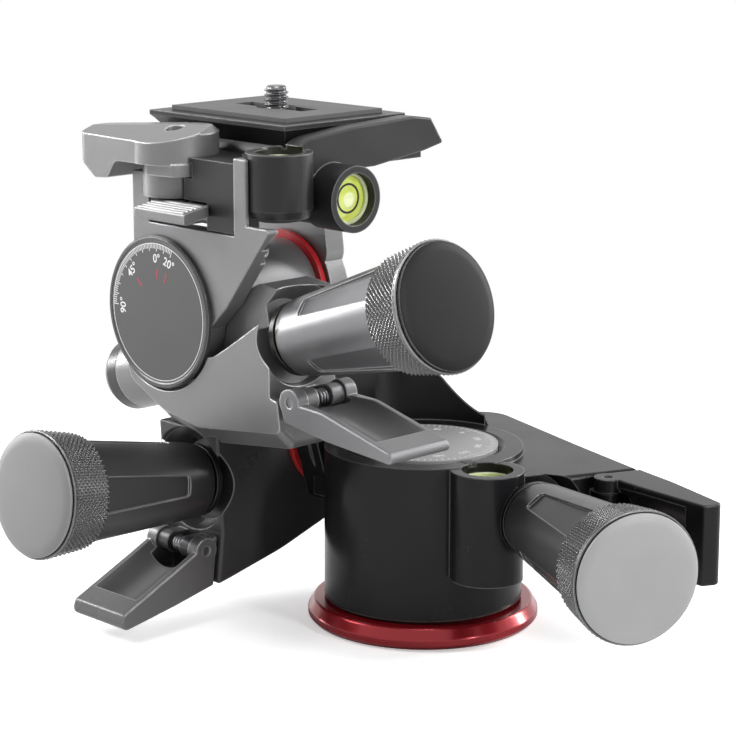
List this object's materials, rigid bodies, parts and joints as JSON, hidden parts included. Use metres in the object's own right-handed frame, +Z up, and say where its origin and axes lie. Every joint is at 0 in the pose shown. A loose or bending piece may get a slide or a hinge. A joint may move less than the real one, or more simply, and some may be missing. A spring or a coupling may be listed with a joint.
{
  "type": "geared tripod head",
  "caption": "Geared camera head with worm-driven pan, roll and tilt axes, knobs with release levers, spirit levels and a quick-release plate.",
  "frame": {"origin": "centre of the tripod thread's mouth, in the flat bottom of the base, on the pan axis", "axes": "+Z up along the pan axis; +X towards the tilt knob's side; -Y the way the tilt dial faces and the roll knob points, with all three axes at zero"},
  "size_m": [0.1756, 0.1384, 0.1355],
  "materials": {
    "red_anodised": "gloss",
    "black_gloss": "gloss",
    "grey_casting": "satin",
    "dark_casting": "satin",
    "dark_aluminium": "satin",
    "knob_aluminium": "satin",
    "knurled_aluminium": "knurled",
    "cap_plastic": "matt",
    "black_plastic": "matt",
    "steel": "machined",
    "spring_steel": "drawn wire",
    "bronze": "turned",
    "brass": "machined",
    "scale_grey": "matt with engraved scale",
    "dial_face": "satin with printed scale",
    "vial": "clear with bubble",
    "rubber": "matt",
    "red_ring": "satin",
    "lever_aluminium": "satin"
  },
  "bodies": {
    "base": {"base_disc": "red_anodised", "base_column": "steel", "thread_insert": "steel", "base_screws": "steel", "pan_friction_washer": "black_plastic", "pan_worm_wheel": "brass", "pan_scale_disc": "scale_grey"},
    "pan_stage": {"pan_housing": "black_gloss", "pan_level_vial": "vial", "pan_index": "brass", "roll_pivot_shaft": "steel", "roll_worm_wheel": "brass", "roll_friction_ring": "red_ring", "pan_worm_bushes": "bronze", "pan_lever_pin": "steel", "pan_lever_spring": "spring_steel"},
    "roll_stage": {"roll_housing": "dark_casting", "roll_cover": "dark_casting", "mid_frame": "grey_casting", "frame_screws": "steel", "tilt_axle": "steel", "tilt_dial": "dial_face", "tilt_friction_ring": "red_ring", "axle_cap": "dark_casting", "tilt_worm_cap": "dark_casting", "roll_worm_bushes": "bronze", "roll_lever_pin": "steel", "roll_lever_spring": "spring_steel", "tilt_worm_bushes": "bronze", "tilt_lever_pin": "steel", "tilt_lever_spring": "spring_steel"},
    "tilt_stage": {"top_bracket": "grey_casting", "tilt_worm_wheel": "brass", "receiver": "dark_casting", "receiver_screws": "steel", "top_level_vial": "vial", "side_level_vial": "vial", "quick_release_pivot": "steel", "camera_plate": "dark_casting", "rubber_pad": "rubber"},
    "pan_knob": {"pan_worm": "steel", "pan_knob_body": "dark_aluminium", "pan_knob_grip": "knurled_aluminium", "pan_knob_cap": "cap_plastic"},
    "roll_knob": {"roll_worm": "steel", "roll_knob_body": "dark_aluminium", "roll_knob_grip": "knurled_aluminium", "roll_knob_cap": "cap_plastic"},
    "tilt_knob": {"tilt_worm": "steel", "tilt_knob_body": "knob_aluminium", "tilt_knob_grip": "knurled_aluminium", "tilt_knob_cap": "cap_plastic"},
    "pan_lever": {"pan_lever": "lever_aluminium"},
    "roll_lever": {"roll_lever": "lever_aluminium"},
    "tilt_lever": {"tilt_lever": "lever_aluminium"},
    "quick_release_lever": {"quick_release_lever": "grey_casting"},
    "safety_catch": {"safety_catch": "grey_casting"},
    "camera_screw": {"camera_screw": "steel"}
  },
  "joints": [
    {"name": "pan_rotation", "type": "hinge", "parent": "base", "child": "pan_stage", "pos_m": [0, 0, 0], "axis": [0, 0, 1], "continuous": true},
    {"name": "roll_rotation", "type": "hinge", "parent": "pan_stage", "child": "roll_stage", "pos_m": [-0.044, 0, 0.047], "axis": [-1, 0, 0], "range_deg": [-20, 90]},
    {"name": "tilt_rotation", "type": "hinge", "parent": "roll_stage", "child": "tilt_stage", "pos_m": [-0.0505, -0.034, 0.0798], "axis": [0, -1, 0], "range_deg": [-20, 90]},
    {"name": "pan_knob_turn", "type": "hinge", "parent": "pan_stage", "child": "pan_knob", "pos_m": [0.00536, 0.01293, 0.0345], "axis": [0.9239, -0.3827, 0], "continuous": true},
    {"name": "roll_knob_turn", "type": "hinge", "parent": "roll_stage", "child": "roll_knob", "pos_m": [-0.044, -0.00181, 0.0311], "axis": [0, -0.9936, 0.1132], "continuous": true},
    {"name": "tilt_knob_turn", "type": "hinge", "parent": "roll_stage", "child": "tilt_knob", "pos_m": [-0.04648, -0.034, 0.06639], "axis": [0.9578, 0, 0.2874], "continuous": true},
    {"name": "pan_lever_press", "type": "hinge", "parent": "pan_stage", "child": "pan_lever", "pos_m": [0.05086, 0.01303, 0.0345], "axis": [0, 0, -1], "range_deg": [0, 8], "stiffness_Nm_per_rad": 0.3, "springref_deg": -20.05},
    {"name": "roll_lever_press", "type": "hinge", "parent": "roll_stage", "child": "roll_lever", "pos_m": [-0.0435, -0.04541, 0.01946], "axis": [-1, 0, 0], "range_deg": [0, 8], "stiffness_Nm_per_rad": 0.3, "springref_deg": -20.05},
    {"name": "tilt_lever_press", "type": "hinge", "parent": "roll_stage", "child": "tilt_lever", "pos_m": [-0.00188, -0.0353, 0.0639], "axis": [0, -1, 0], "range_deg": [0, 8], "stiffness_Nm_per_rad": 0.3, "springref_deg": -20.05},
    {"name": "quick_release_turn", "type": "hinge", "parent": "tilt_stage", "child": "quick_release_lever", "pos_m": [-0.05, -0.0398, 0.118], "axis": [0, 0, 1], "range_deg": [0, 75]},
    {"name": "safety_catch_press", "type": "hinge", "parent": "tilt_stage", "child": "safety_catch", "pos_m": [-0.0375, -0.0415, 0.1066], "axis": [1, 0, 0], "range_deg": [0, 12], "stiffness_Nm_per_rad": 0.02, "springref_deg": -28.65},
    {"name": "camera_screw_turn", "type": "hinge", "parent": "tilt_stage", "child": "camera_screw", "pos_m": [-0.0462, -0.0083, 0.1288], "axis": [0, 0, 1], "continuous": true}
  ],
  "couplings": [
    {"joint": "pan_knob_turn", "follows": "pan_rotation", "ratio": -40},
    {"joint": "roll_knob_turn", "follows": "roll_rotation", "ratio": 48},
    {"joint": "tilt_knob_turn", "follows": "tilt_rotation", "ratio": -40}
  ]
}
